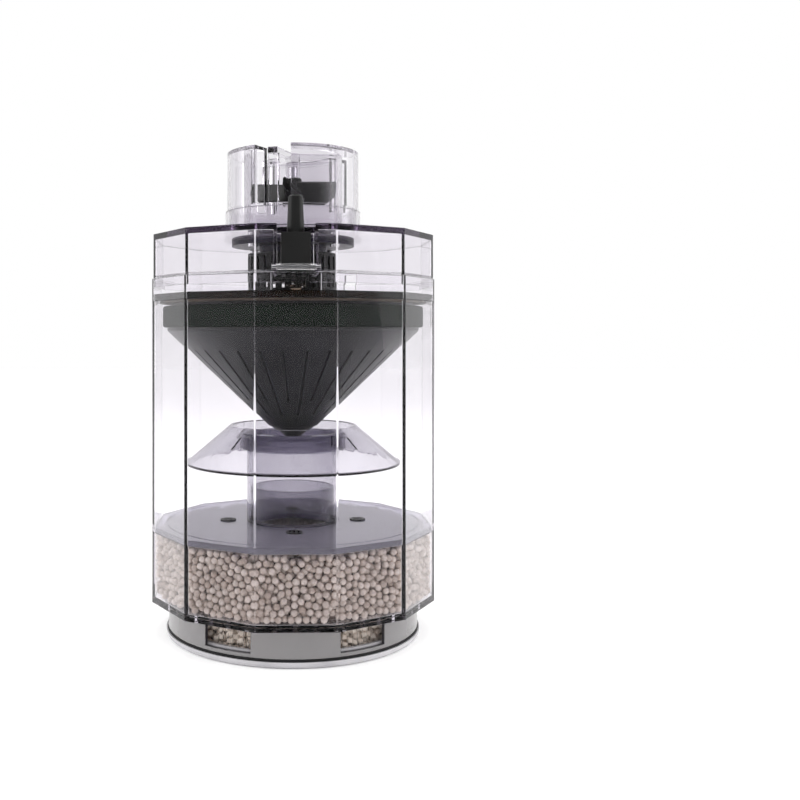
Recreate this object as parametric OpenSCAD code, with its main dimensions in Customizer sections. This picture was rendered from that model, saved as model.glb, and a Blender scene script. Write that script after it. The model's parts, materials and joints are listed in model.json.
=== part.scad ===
// Twelve-sided canister filter for an aquarium: base, media chamber, settling chamber,
// slotted hopper, pump lid and a swivelling outlet turret. Front is -Y, up is +Z.

/* [Canister] */
// Radius over the corners of the twelve-sided shell
can_r = 80; // [66:0.5:96]
// Height of the shell from its underside to its rim
can_h = 176.5; // [145:0.1:210]
// Thickness of the shell's walls
can_wall = 3; // [2:0.1:3.2]
// Thickness of the shell's floor
can_floor = 3; // [2:0.1:5]
// Depth of the layer of ceramic beads on the floor
media_h = 34.2; // [20:0.1:45]

/* [Base] */
// How far the round base stands in from the shell's corners
base_inset = 9.8; // [8:0.1:14]
// Height of the base, with its bottom plate
base_h = 20; // [17:0.1:30]
// Thickness of the base cup's wall
base_wall = 2.6; // [2:0.1:4]
// Thickness of the bottom plate
plate_t = 3.2; // [2.5:0.1:5]
// Number of intake windows round the base
window_n = 6; // [4:1:8]
// Width of an intake window
window_w = 27; // [14:0.5:30]

/* [Tray and riser] */
// Thickness of the tray plate over the beads
tray_t = 3; // [2:0.1:5]
// Outer radius of the riser tube
riser_r = 25.5; // [20:0.1:28]
// Wall of the riser tube
riser_wall = 2; // [1.5:0.1:3]
// Radius of the deflector at its lower rim
hat_r = 59.7; // [50:0.1:61]
// Radius of the deflector at its open top
hat_top_r = 34.9; // [32:0.1:40]
// Height of the deflector's cone
hat_h = 20.8; // [14:0.1:26]

/* [Hopper] */
// Thickness of the hopper's flange
flange_t = 3.7; // [2.5:0.1:5]
// Wall of the hopper's cone
cone_wall = 2.2; // [1.6:0.1:3]
// Slope of the cone, from level
cone_slope = 44; // [35:0.5:48]
// Radius of the cone where its cap begins
cone_tip_r = 13.6; // [10:0.1:18]
// Number of slots round the cone
slot_n = 30; // [18:2:36]
// Width of a slot
slot_w = 1.3; // [0.8:0.1:2]
// Height of the sponge ring
sponge_h = 12.2; // [8:0.1:16]

/* [Lid] */
// Height of the lid over the gasket
lid_h = 23.8; // [22:0.1:32]
// Thickness of the lid's side walls
lid_wall = 2.8; // [1.6:0.1:3]
// Thickness of the lid's top
lid_top = 3; // [2:0.1:4]
// Width of the recess for the nozzle
recess_w = 18.9; // [16:0.1:24]

/* [Pump] */
// Outer radius of the pump housing
pump_r = 19; // [17:0.1:22]
// Height of the pump housing
pump_h = 15; // [14:0.1:18]
// Outer radius of the pump's strainer
strainer_r = 25; // [23:0.1:30]
// Radius of the pump's shaft
shaft_r = 1.5; // [1:0.1:2]
// Width of the nozzle block
block_w = 14.8; // [12:0.1:15.5]
// Height of the nozzle over its block
nozzle_h = 19.4; // [14:0.1:24]
// Radius of the nozzle's bore
nozzle_bore_r = 2.1; // [1.5:0.1:2.6]

/* [Turret] */
// Outer radius of the turret drum
drum_r = 37.2; // [34:0.1:42]
// Height of the drum over its collar
drum_h = 32.8; // [28:0.1:40]
// Height of the collar on the lid
collar_h = 14.1; // [11:0.1:18]
// Wall of the drum and its collar
drum_wall = 2.1; // [1.6:0.1:3]
// Outer radius of the duct inside the drum
duct_r = 27.9; // [26:0.1:30]
// Radius of the shaft that the impeller turns on
pin_r = 1.5; // [1:0.1:2]
// Number of blades on the impeller
blade_n = 4; // [3:1:6]

/* [Hidden] */
$fn = 96;
over = 1;           // how far a cut runs past the face that it opens
slip = 0.3;         // gap between pieces that lift or turn apart
snug = 0.1;         // gap between pieces that are pushed together and stay
run = 0.05;         // radial clearance of a shaft in its bush
side_cos = cos(15); // a flat's distance from the axis, over the corner's

// base
base_r = can_r - base_inset;
plate_r = base_r + 1;
plate_edge = 2.2;
plate_rim_h = 3;
base_seal_h = 1.2;
cup_z = plate_t + base_seal_h + run;
cup_in = base_r - base_wall;
spigot_w = 2;
sill_h = 2.1;
screen_r = cup_in - spigot_w - 2 * slip;
screen_wall = 1.3;
screen_slit = 1.2;
screen_pitch = 3;
spigot_h = 2.2;
spigot_z = base_h - spigot_h;
lug_n = 3;          // bayonet lugs that hold the bottom plate
lug_half = 3.5;     // half the angle of a lug
lug_turn = 12;      // angle from locked to free
lug_depth = 0.9;
lug_z = cup_z + 1.3;
lug_h = 1.2;

// canister
rim_z = base_h + can_h;
can_in = can_r - can_wall / side_cos;
tray_ledge = 0.9;
hopper_ledge = 1.2;
low_in = can_in - tray_ledge;
high_in = can_in + hopper_ledge;
floor_z = base_h + can_floor;
tray_z = floor_z + media_h + 0.8;
ring_groove_r = low_in * side_cos - 4;
floor_slot_w = 2.6;
floor_slot_n = 36;
floor_slot_in = 34;
floor_slot_out = cup_in - 6;

// hopper, measured down from the rim
flange_z = rim_z - 12.1;
flange_r = high_in - 0.25;
neck_r = can_r - 14;
sponge_r = can_r - 8.2;
sponge_z = flange_z - 2.4 - sponge_h;
seal_h = 1.2;
shoulder_r = can_r - 11;
shoulder_z = sponge_z - 1.6;
cone_h = (shoulder_r - cone_tip_r) * tan(cone_slope);
cone_end_z = shoulder_z - cone_h;
tip_r = 4.5;
tip_h = 6.4;
tip_z = cone_end_z - tip_h;
neck_wall = 2.4;
key_w = 5.3;
key_h = 2.9;

// tray, riser and deflector; the deflector's open top rings the tip of the hopper
tray_top = tray_z + tray_t;
tray_r = can_in - slip;
riser_in = riser_r - riser_wall;
hat_top_z = tip_z + 6.9;
hat_z = hat_top_z - hat_h;
hat_wall = 1.8;
riser_top = tip_z + 2.4;
socket_h = 19.5;
socket_wall = 1.8;
socket_r = riser_in - snug;
strainer_at = 36;
strainer_disc_r = 4.4;
collar_wall = 2.4;
riser_collar_h = 9.6;

// lid
gasket_h = 0.6;
lid_z = rim_z + gasket_h;
lid_r = can_r - 0.7;
lid_in = lid_r - lid_wall / side_cos;
lid_top_z = lid_z + lid_h;
lid_front = lid_r * side_cos;
plug_r = high_in - slip;
plug_wall = 1.6;
plug_h = 5.2;
pocket_wall = 1.5;
pocket_depth = 20;
pocket_floor = 1.5;
duct_gap = 0.7;
lid_hole_r = duct_r + duct_gap;

// latches
latch_w = 23.9;
latch_t = 1.6;
latch_drop = 11;
latch_eye_r = 1.6;
latch_pin_r = 0.8;
latch_pin_y = lid_front + latch_eye_r + 0.2;
latch_pin_z = lid_z + 2.3;
latch_eye_w = 18.6;
latch_notch_w = latch_w + 2 * slip;
lug_w = 2.4;

// pump, hung under the lid's top
outlet_t = 2.2;
outlet_flange_r = 34;
outlet_z = lid_top_z - lid_top - outlet_t;
pump_z = outlet_z - 1.8 - pump_h;
pump_wall = 1.7;
pump_in = pump_r - pump_wall;
can_wall_r = 10.6;
liner_r = 6.9;
liner_wall = 0.5;
motor_z = pump_z + 5.2;
motor_floor = 1.3;
bush_r = shaft_r + 1.1;
rotor_gap = 0.3;
strainer_h = 9;
strainer_z = pump_z - strainer_h;
skirt_h = 12.6;      // how far the strainer's cage goes on up round the pump
strainer_wall = 1.6;
strainer_slots = 28;
screw_n = 4;
screw_at = 31.3;
screw_r = 1.25;
screw_head_r = 2.3;
vane_n = 5;

// nozzle block and nozzle
block_h = 19;
block_z = lid_z + 0.5;
block_front = lid_front - 0.4;
block_back = lid_front - pocket_depth + 0.2;
block_corner = 3;
nozzle_y = lid_front - 11.6;
nozzle_r = 4.5;
nozzle_tip_r = 3.65;
air_pipe_r = 2.5;
air_pipe_bore = 1.5;
air_pipe_z = pump_z + 2.8;
gland_turn = 150;
gland_r = 4;
gland_tip_r = 3;
gland_h = 9;
gland_bore = 2;
cable_notch_w = 8;
cable_notch_h = 7;

// turret
collar_z = lid_top_z;
collar_r = drum_r + 1.1;
collar_in = collar_r - drum_wall;
collar_floor = 2.4;
drum_z = collar_z + collar_h + slip;
drum_top = drum_z + drum_h;
drum_foot_z = collar_z + collar_floor + run;
drum_foot_r = collar_in - slip;
roof_t = 1.9;
outlet_from = -35;
outlet_to = -3;
outlet_n = 3;
sill_z = drum_z + 1.4;
post_r = 1.7;
duct_wall = 2.6;
duct_in = duct_r - duct_wall;
arm_turn = -24.5;
arm_w = 5.8;
arm_root_w = 3.4;
arm_h = 3.2;
bridge_r = 4.2;
bridge_h = 13.4;
bridge_z = drum_top - bridge_h;
hub_r = 5;
hub_h = 14.2;
hub_z = bridge_z - 0.5 - hub_h;
blade_r = duct_in - 0.5;
blade_chord = 15.6;
blade_t = 1.6;
blade_pitch = 45;
blade_chamfer = 6;
blade_drop = 1;
hub_bush_r = pin_r + 1.2;
cap_h = 2.4;
cap_r = 3.4;

// ---- shared shapes ----

// A twelve-sided prism with a flat to the front, r over its corners
module prism(r, h) {
    rotate([0, 0, 15]) cylinder(r = r, h = h, $fn = 12);
}

module prism_ring(r, inner, h) {
    difference() {
        prism(r, h);
        translate([0, 0, -over]) prism(inner, h + 2 * over);
    }
}

module ring(r, inner, h) {
    difference() {
        cylinder(r = r, h = h);
        translate([0, 0, -over]) cylinder(r = inner, h = h + 2 * over);
    }
}

// A wedge round the axis, from one turn to another; turns count from the front towards +X
module wedge(from, to, r, h) {
    far = r / cos((to - from) / 4);
    turns = [from, (from + to) / 2, to];
    linear_extrude(h) polygon(concat([[0, 0]], [for (a = turns) [far * sin(a), -far * cos(a)]]));
}

module round_array(n, first = 0) {
    for (i = [0:n - 1]) rotate([0, 0, first + i * 360 / n]) children();
}

// A block whose middle faces the front, reaching from one radius to another
module spoke(w, inner, outer, h) {
    translate([-w / 2, -outer, 0]) cube([w, outer - inner, h]);
}

// ---- base ----

module base_plate() {
    color([0.62, 0.61, 0.63]) {
        rotate_extrude() difference() {
            union() {
                square([plate_r - plate_edge, plate_t]);
                translate([0, plate_edge]) square([plate_r, plate_t - plate_edge]);
                translate([plate_r - plate_edge, plate_edge]) circle(r = plate_edge);
            }
            translate([-2 * plate_r, -over]) square([2 * plate_r, plate_t + 2 * over]);
            translate([0, plate_t]) square([plate_r + over, plate_edge]);
        }
        translate([0, 0, plate_t])
            ring(cup_in - slip, cup_in - slip - spigot_w, base_seal_h + plate_rim_h);
        bayonet(-lug_half, lug_half, cup_in + lug_depth, lug_z, lug_h);
    }
}

// Arcs of a ring inside the cup, one for each lug
module bayonet(from, to, r, z, h) {
    round_array(lug_n, 180 / lug_n) translate([0, 0, z]) intersection() {
        ring(r, cup_in - slip - spigot_w / 2, h);
        translate([0, 0, -over]) wedge(from, to, 2 * cup_in, h + 2 * over);
    }
}

module base_seal() {
    color([0.08, 0.08, 0.08]) translate([0, 0, plate_t])
        ring(base_r + 0.3, cup_in, base_seal_h);
}

module base_cup() {
    color([0.7, 0.69, 0.71, 0.5]) difference() {
        translate([0, 0, cup_z]) ring(base_r, cup_in, base_h - cup_z);
        round_array(window_n, 180 / window_n) translate([0, 0, cup_z + sill_h])
            spoke(window_w, cup_in - 2 * over, base_r + over, base_h);
        bayonet(-lug_half - 0.6, lug_turn + lug_half + 0.6, cup_in + lug_depth + slip,
            lug_z - 0.2, lug_h + 0.4);
        bayonet(lug_turn - lug_half - 0.3, lug_turn + lug_half + 0.3, cup_in + lug_depth + slip / 2,
            cup_z - over, lug_z - cup_z + lug_h / 2);
    }
}

module base_screen() {
    screen_z = plate_t + run;
    screen_h = base_h - screen_z;
    slits = 7;
    color([0.8, 0.8, 0.82, 0.4]) difference() {
        translate([0, 0, screen_z]) ring(screen_r, screen_r - screen_wall, screen_h);
        round_array(window_n, 180 / window_n)
            for (i = [0:slits - 1]) translate([(i - (slits - 1) / 2) * screen_pitch, 0, cup_z + sill_h + 1])
                spoke(screen_slit, screen_r - screen_wall - 2 * over, base_r, base_h - cup_z - sill_h - 4);
    }
}

module base_beads() {
    bead_z = plate_t + run;
    color([0.75, 0.69, 0.64]) translate([0, 0, bead_z])
        cylinder(r = screen_r - screen_wall - slip, h = base_h - bead_z - slip);
}

// ---- canister ----

module canister_shell() {
    color([0.85, 0.84, 0.87, 0.3]) difference() {
        union() {
            translate([0, 0, base_h]) prism(can_r, can_h);
            translate([0, 0, spigot_z]) ring(cup_in - snug, cup_in - snug - spigot_w, spigot_h + over);
        }
        translate([0, 0, floor_z]) prism(low_in, can_h);
        translate([0, 0, tray_z]) prism(can_in, can_h);
        translate([0, 0, flange_z]) prism(high_in, can_h);
        round_array(floor_slot_n) translate([0, 0, base_h - over])
            spoke(floor_slot_w, floor_slot_in, floor_slot_out, can_floor + 2 * over);
        round_array(2) translate([0, 0, rim_z - latch_drop - slip])
            spoke(latch_notch_w, can_r * side_cos - can_wall - over, can_r + over, can_h);
    }
}

module canister_beads() {
    color([0.75, 0.69, 0.64]) translate([0, 0, floor_z]) prism(low_in - slip, media_h);
}

// ---- tray, riser and deflector ----

module tray_plate() {
    color([0.45, 0.44, 0.5, 0.6]) difference() {
        translate([0, 0, tray_z + run]) prism(tray_r, tray_t - run);
        translate([0, 0, tray_z - over]) cylinder(r = socket_r - socket_wall, h = tray_t + 2 * over);
        translate([0, 0, tray_top - 0.6]) ring(ring_groove_r, ring_groove_r - 0.8, over);
        round_array(4) translate([0, -strainer_at, tray_z - over])
            cylinder(r = strainer_disc_r, h = tray_t + 2 * over);
    }
}

module tray_strainers() {
    color([0.2, 0.2, 0.24]) round_array(4) translate([0, -strainer_at, tray_z + run]) difference() {
        cylinder(r = strainer_disc_r, h = tray_t + 0.6);
        for (i = [-1:1]) translate([i * 2.2 - 0.5, -2.4, -over]) cube([1, 4.8, tray_t + 3 * over]);
    }
}

module riser_socket() {
    color([0.42, 0.41, 0.47, 0.6]) translate([0, 0, tray_top]) {
        ring(socket_r, socket_r - socket_wall, socket_h);
        ring(riser_r, socket_r - socket_wall, 1.2);
    }
}

module riser_tube() {
    color([0.5, 0.49, 0.56, 0.5]) translate([0, 0, tray_top + 1.2])
        ring(riser_r, riser_in, riser_top - tray_top - 1.2);
}

module riser_collar() {
    groove = 0.8;
    color([0.3, 0.29, 0.35, 0.7]) translate([0, 0, riser_top - riser_collar_h]) difference() {
        ring(riser_r + collar_wall, riser_r, riser_collar_h);
        for (z = [2.6, 6.2]) translate([0, 0, z])
            ring(riser_r + collar_wall + over, riser_r + collar_wall - groove, 1.2);
    }
}

// The deflector's cone, a socket that grips the collar, and four webs between them
module deflector_hat() {
    fall = (hat_r - hat_top_r) / hat_h;
    grip_r = riser_r + collar_wall;
    grip_wall = 1.6;
    web_z = riser_top - 6.5;
    web_top = riser_top - 0.6;
    web_t = 1.3;
    rim_bead = 0.7;
    color([0.5, 0.48, 0.57, 0.5]) {
        difference() {
            union() {
                translate([0, 0, hat_z]) cylinder(r1 = hat_r, r2 = hat_top_r, h = hat_h);
                translate([0, 0, hat_z - rim_bead]) cylinder(r = hat_r + 0.3, h = 2 * rim_bead);
            }
            translate([0, 0, hat_z - over]) cylinder(
                r1 = hat_r - hat_wall + fall * over, r2 = hat_top_r - hat_wall - fall * over,
                h = hat_h + 2 * over);
        }
        difference() {
            union() {
                translate([0, 0, riser_top - riser_collar_h + 1])
                    ring(grip_r + grip_wall, grip_r, riser_collar_h - 1.6);
                intersection() {
                    translate([0, 0, hat_z])
                        cylinder(r1 = hat_r - hat_wall + 0.1, r2 = hat_top_r - hat_wall + 0.1, h = hat_h);
                    round_array(4, 45) translate([0, 0, web_z])
                        spoke(web_t, grip_r + grip_wall / 2, hat_r, web_top - web_z);
                }
            }
            translate([0, 0, hat_z - over]) cylinder(r = grip_r, h = hat_h + 2 * over);
        }
    }
}

// ---- hopper ----

module hopper_flange() {
    color([0.1, 0.1, 0.11]) {
        difference() {
            translate([0, 0, flange_z + run]) prism(flange_r, flange_t - run);
            translate([0, 0, flange_z - over]) cylinder(r = neck_r - neck_wall, h = flange_t + 2 * over);
        }
        translate([0, 0, flange_z + flange_t]) {
            spoke(key_w, flange_r * side_cos - 4, flange_r * side_cos - 1, key_h);
            translate([0, 0, key_h - 1]) spoke(key_w + 4, flange_r * side_cos - 3, flange_r * side_cos - 1, 1);
        }
    }
}

module cone_slot(top_r, low_r) {
    run_out = top_r - low_r;
    length = run_out / cos(cone_slope);
    top_z = shoulder_z - (shoulder_r - top_r) * tan(cone_slope);
    translate([0, -top_r, top_z]) rotate([-cone_slope, 0, 0])
        translate([-slot_w / 2, 0, -cone_wall - 2 * over]) cube([slot_w, length, cone_wall + 4 * over]);
}

module hopper_cone() {
    inset = cone_wall / sin(cone_slope);
    long_top = shoulder_r - 11;
    color([0.2, 0.2, 0.22]) difference() {
        rotate_extrude() polygon([
            [cone_tip_r, cone_end_z], [shoulder_r, shoulder_z], [shoulder_r, sponge_z],
            [neck_r, sponge_z], [neck_r, flange_z], [neck_r - neck_wall, flange_z],
            [neck_r - neck_wall, shoulder_z - (shoulder_r - neck_r + neck_wall - inset) * tan(cone_slope)],
            [cone_tip_r - inset, cone_end_z]
        ]);
        round_array(slot_n / 2, 180 / slot_n) cone_slot(long_top, cone_tip_r + 7);
        round_array(slot_n / 2, 180 / slot_n + 360 / slot_n) cone_slot(long_top, cone_tip_r + 16);
    }
}

module hopper_tip() {
    lip = cone_wall / sin(cone_slope) + 1.2;
    color([0.16, 0.16, 0.18]) rotate_extrude() polygon([
        [0, tip_z], [tip_r, tip_z], [cone_tip_r - 0.6, cone_end_z], [cone_tip_r - lip, cone_end_z],
        [cone_tip_r - lip, cone_end_z + 2], [cone_tip_r - lip - 1.2, cone_end_z + 2],
        [cone_tip_r - lip - 1.2, cone_end_z - 1.5], [0, cone_end_z - 2.5]
    ]);
}

module hopper_seal() {
    color([0.5, 0.5, 0.5]) translate([0, 0, flange_z - seal_h]) ring(sponge_r + 1.4, neck_r, seal_h);
}

module sponge_ring() {
    color([0.1, 0.13, 0.11]) translate([0, 0, sponge_z]) ring(sponge_r, neck_r, sponge_h);
}

// ---- lid and latches ----

module lid_shell() {
    pocket_z = lid_z - 1.2;
    pocket_back = lid_front - pocket_depth;
    lug_at = latch_eye_w / 2 + 0.3;
    color([0.85, 0.84, 0.88, 0.3]) difference() {
        union() {
            difference() {
                translate([0, 0, lid_z]) prism(lid_r, lid_h);
                translate([0, 0, lid_z - over]) prism(lid_in, lid_h - lid_top + over);
            }
            translate([0, 0, lid_z - plug_h])
                prism_ring(plug_r, plug_r - plug_wall / side_cos, plug_h + 0.8);
            translate([0, 0, pocket_z]) spoke(recess_w + 2 * pocket_wall, pocket_back - pocket_wall,
                plug_r * side_cos - 0.2, lid_top_z - pocket_z - 0.1);
            round_array(2) for (side = [-1, 1])
                translate([side * (lug_at + lug_w / 2), 0, latch_pin_z - latch_eye_r])
                    spoke(lug_w, lid_front - 0.5, latch_pin_y + latch_eye_r, 2 * latch_eye_r);
        }
        translate([0, 0, pocket_z + pocket_floor])
            spoke(recess_w, pocket_back, lid_r + over, lid_h + 2 * over);
        translate([0, 0, lid_z]) cylinder(r = lid_hole_r, h = lid_h + over);
        round_array(screw_n, 45) translate([0, -screw_at, outlet_z]) cylinder(r = screw_r, h = outlet_t + 2);
        translate([0, 0, latch_pin_z]) rotate([90, 0, 0]) for (y = [-1, 1])
            translate([-latch_w, 0, y * latch_pin_y]) rotate([0, 90, 0])
                cylinder(r = latch_pin_r, h = 2 * latch_w);
        translate([0, 0, air_pipe_z]) rotate([90, 0, 0])
            translate([0, 0, pocket_back - 2 * pocket_wall]) cylinder(r = air_pipe_r, h = 3 * pocket_wall);
        rotate([0, 0, gland_turn]) translate([0, 0, lid_z - plug_h - over])
            spoke(cable_notch_w, lid_in * side_cos - plug_wall - 2 * over, lid_r + over,
                plug_h + cable_notch_h + over);
    }
}

module lid_gasket() {
    color([0.9, 0.9, 0.92, 0.6]) difference() {
        translate([0, 0, rim_z + run]) prism_ring(lid_r, plug_r + snug, gasket_h - run);
        round_array(2) translate([0, 0, rim_z - over])
            spoke(latch_notch_w, lid_front - 0.2, lid_r + over, gasket_h + 2 * over);
    }
}

module latch_pins() {
    length = latch_eye_w + 2 * lug_w + 0.6;
    color([0.75, 0.75, 0.77]) round_array(2)
        translate([-length / 2, -latch_pin_y, latch_pin_z]) rotate([0, 90, 0])
            cylinder(r = latch_pin_r, h = length);
}

// A tongue that hangs from its pin in front of the rim, with a lip to pull it by
module latch() {
    tongue_y = lid_front + snug;
    low_z = rim_z - latch_drop;
    color([0.88, 0.87, 0.9, 0.4]) difference() {
        union() {
            translate([-latch_eye_w / 2, -latch_pin_y, latch_pin_z]) rotate([0, 90, 0])
                cylinder(r = latch_eye_r, h = latch_eye_w);
            translate([0, 0, lid_z - 1]) spoke(latch_eye_w, tongue_y, tongue_y + latch_t, latch_pin_z - lid_z + 1);
            translate([0, 0, low_z]) spoke(latch_w, tongue_y, tongue_y + latch_t, lid_z - low_z - 0.5);
            translate([0, 0, low_z]) spoke(latch_w - 6, tongue_y + latch_t / 2, latch_pin_y + latch_eye_r, 1.2);
        }
        translate([-latch_w, -latch_pin_y, latch_pin_z]) rotate([0, 90, 0])
            cylinder(r = latch_pin_r + run, h = 2 * latch_w);
    }
}

module latch_front() {
    latch();
}

module latch_rear() {
    rotate([0, 0, 180]) latch();
}

// ---- pump ----

module pump_housing() {
    color([0.09, 0.09, 0.1]) difference() {
        union() {
            translate([0, 0, pump_z]) ring(pump_r, pump_in, pump_h);
            translate([0, 0, motor_z]) cylinder(r = can_wall_r, h = pump_z + pump_h - motor_z);
            round_array(3, 60) translate([0, 0, motor_z + 1])
                spoke(1.6, can_wall_r - 0.5, pump_in + 0.3, pump_z + pump_h - motor_z - 1);
        }
        translate([0, 0, motor_z + motor_floor]) difference() {
            cylinder(r = can_wall_r - 1, h = pump_h);
            translate([0, 0, -over]) cylinder(r = liner_r, h = pump_h + 2 * over);
        }
        translate([0, 0, motor_z + motor_floor]) cylinder(r = liner_r - liner_wall, h = pump_h);
        translate([0, 0, motor_z - over]) cylinder(r = bush_r, h = pump_h);
        translate([0, 0, air_pipe_z]) rotate([90, 0, 0]) cylinder(r = air_pipe_r, h = pump_r + over);
        rotate([0, 0, gland_turn]) translate([0, 0, motor_z + 4.5]) rotate([90, 0, 0])
            translate([0, 0, pump_in - over]) cylinder(r = gland_bore, h = pump_wall + 2 * over);
    }
}

module pump_strainer() {
    deck_t = 1.5;
    bar_end = 0.4;
    slot_in = strainer_r - strainer_wall - over;
    cage_h = strainer_h + skirt_h;
    color([0.1, 0.1, 0.11]) difference() {
        translate([0, 0, strainer_z]) difference() {
            union() {
                ring(strainer_r, strainer_r - strainer_wall, cage_h);
                cylinder(r = strainer_r, h = deck_t);
                translate([0, 0, strainer_h - deck_t]) ring(strainer_r, pump_in, deck_t);
                translate([0, 0, cage_h - deck_t]) ring(strainer_r, pump_r + slip, deck_t);
            }
            round_array(strainer_slots) {
                translate([0, 0, deck_t + bar_end])
                    spoke(2.2, slot_in, strainer_r + over, strainer_h - 2 * (deck_t + bar_end));
                translate([0, 0, strainer_h + bar_end])
                    spoke(2.2, slot_in, strainer_r + over, skirt_h - deck_t - 2 * bar_end);
            }
            round_array(8) translate([0, 0, -over]) spoke(2.4, 7, strainer_r - 5, deck_t + 2 * over);
        }
        translate([0, 0, air_pipe_z]) rotate([90, 0, 0]) cylinder(r = air_pipe_r + snug, h = strainer_r + over);
        rotate([0, 0, gland_turn]) translate([0, 0, motor_z + 4.5]) rotate([90, 0, 0])
            cylinder(r = gland_r + snug, h = strainer_r + over);
    }
}

// A flange under the lid, opening out from the pump to the turret
module pump_outlet() {
    throat_z = pump_z + pump_h;
    mouth_r = duct_in - 1;
    color([0.12, 0.12, 0.13]) difference() {
        union() {
            translate([0, 0, outlet_z]) cylinder(r = outlet_flange_r, h = outlet_t);
            translate([0, 0, outlet_z + outlet_t - over]) cylinder(r = lid_hole_r - snug, h = lid_top + over);
            translate([0, 0, throat_z]) cylinder(r = pump_r, h = outlet_z - throat_z + over);
        }
        translate([0, 0, throat_z - over]) cylinder(r = pump_in, h = 2 * over + 0.2);
        translate([0, 0, throat_z + over]) cylinder(r1 = pump_in, r2 = mouth_r, h = lid_top_z - throat_z - over);
        translate([0, 0, lid_top_z - 0.01]) cylinder(r = mouth_r, h = over);
        round_array(screw_n, 45) translate([0, -screw_at, outlet_z - over])
            cylinder(r = screw_r, h = outlet_t + 2 * over);
    }
}

module pump_screws() {
    color([0.75, 0.75, 0.76]) round_array(screw_n, 45) translate([0, -screw_at, outlet_z]) difference() {
        union() {
            translate([0, 0, -1.7]) cylinder(r = screw_head_r, h = 1.7);
            cylinder(r = screw_r, h = outlet_t + 1.8);
        }
        translate([0, 0, -1.7 - over]) cylinder(r = 1.1, h = 1 + over, $fn = 6);
    }
}

module pump_coil() {
    coil_z = motor_z + motor_floor + 0.2;
    color([0.7, 0.38, 0.2]) translate([0, 0, coil_z])
        ring(can_wall_r - 1.2, liner_r + 0.2, pump_z + pump_h - coil_z - 0.6);
}

module motor_cap() {
    color([0.1, 0.1, 0.11]) translate([0, 0, pump_z + pump_h]) difference() {
        union() {
            cylinder(r = can_wall_r, h = 1.4);
            translate([0, 0, 1.4]) cylinder(r1 = can_wall_r, r2 = bush_r + 1.2, h = 1.6);
        }
        translate([0, 0, -over]) cylinder(r = bush_r, h = 2.4 + over);
    }
}

module shaft_bushes() {
    color([0.9, 0.9, 0.88]) {
        translate([0, 0, motor_z]) ring(bush_r, shaft_r + run, motor_floor);
        translate([0, 0, pump_z + pump_h + 0.2]) ring(bush_r, shaft_r + run, 2);
    }
}

module cable_gland() {
    color([0.07, 0.07, 0.07]) difference() {
        rotate([0, 0, gland_turn]) translate([0, 0, motor_z + 4.5]) rotate([90, 0, 0]) difference() {
            translate([0, 0, pump_r - 0.6]) cylinder(r1 = gland_r, r2 = gland_tip_r, h = gland_h);
            cylinder(r = gland_bore, h = pump_r + gland_h + over);
        }
        translate([0, 0, pump_z - over]) cylinder(r = pump_r, h = pump_h + 2 * over);
    }
}

module block_outline() {
    half = block_w / 2;
    translate([-half, block_corner]) square([block_w, block_h - block_corner]);
    translate([block_corner - half, 0]) square([block_w - 2 * block_corner, block_h]);
    for (side = [-1, 1]) translate([side * (half - block_corner), block_corner]) circle(r = block_corner);
}

module nozzle_block() {
    color([0.07, 0.07, 0.07]) difference() {
        translate([0, -block_back, block_z]) rotate([90, 0, 0])
            linear_extrude(block_front - block_back) block_outline();
        translate([0, -nozzle_y, block_z + 4]) cylinder(r = nozzle_bore_r, h = block_h);
        translate([0, -block_back + over, air_pipe_z]) rotate([90, 0, 0])
            cylinder(r = air_pipe_r, h = 3 + over);
        translate([0, over - block_back, air_pipe_z]) rotate([90, 0, 0])
            cylinder(r = air_pipe_bore, h = nozzle_y - block_back + over);
    }
}

module nozzle() {
    top_edge = 0.6;
    nozzle_z = block_z + block_h;
    color([0.07, 0.07, 0.07]) translate([0, -nozzle_y, nozzle_z]) difference() {
        union() {
            cylinder(r1 = nozzle_r, r2 = nozzle_tip_r, h = nozzle_h - top_edge);
            translate([0, 0, nozzle_h - top_edge])
                cylinder(r1 = nozzle_tip_r, r2 = nozzle_tip_r - top_edge, h = top_edge);
        }
        translate([0, 0, -over]) cylinder(r = nozzle_bore_r, h = nozzle_h + 2 * over);
    }
}

module air_pipe() {
    start = pump_in + 0.4;
    color([0.6, 0.6, 0.63, 0.6]) translate([0, 0, air_pipe_z]) rotate([90, 0, 0])
        translate([0, 0, start]) ring(air_pipe_r, air_pipe_bore, block_back + 3 - start);
}

module rotor_shaft() {
    color([0.92, 0.92, 0.9]) translate([0, 0, pump_z + 0.6])
        cylinder(r = shaft_r, h = pump_h + 1.5);
}

module rotor_magnet() {
    magnet_z = motor_z + motor_floor + rotor_gap;
    color([0.15, 0.15, 0.17]) translate([0, 0, magnet_z])
        ring(liner_r - liner_wall - rotor_gap, shaft_r, pump_z + pump_h - 2 * rotor_gap - magnet_z);
}

// Flat blades set at an angle, with one outer corner cut off, trimmed to the bore that they turn in
module blades(n, hub, reach, chord, thick, pitch, chamfer) {
    half = chord / 2;
    intersection() {
        translate([0, 0, -chord]) cylinder(r = reach, h = 2 * chord);
        round_array(n) rotate([0, -pitch, 0]) rotate([0, 0, -90]) rotate([90, 0, 0])
            translate([0, 0, -thick / 2]) linear_extrude(thick) polygon([
                [hub / 2, -half], [reach - chamfer, -half], [reach, chamfer - half],
                [reach, half], [hub / 2, half]
            ]);
    }
}

module rotor_impeller() {
    impeller_z = pump_z + 0.8;
    impeller_h = 3.9;
    color([0.12, 0.12, 0.13]) translate([0, 0, impeller_z]) difference() {
        union() {
            cylinder(r = 4.4, h = impeller_h);
            translate([0, 0, impeller_h / 2])
                blades(vane_n, 4, pump_in - 0.4, impeller_h * 1.25, 1, blade_pitch, 0);
        }
        translate([0, 0, -over]) cylinder(r = shaft_r, h = impeller_h + 2 * over);
    }
}

// ---- turret ----

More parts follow.
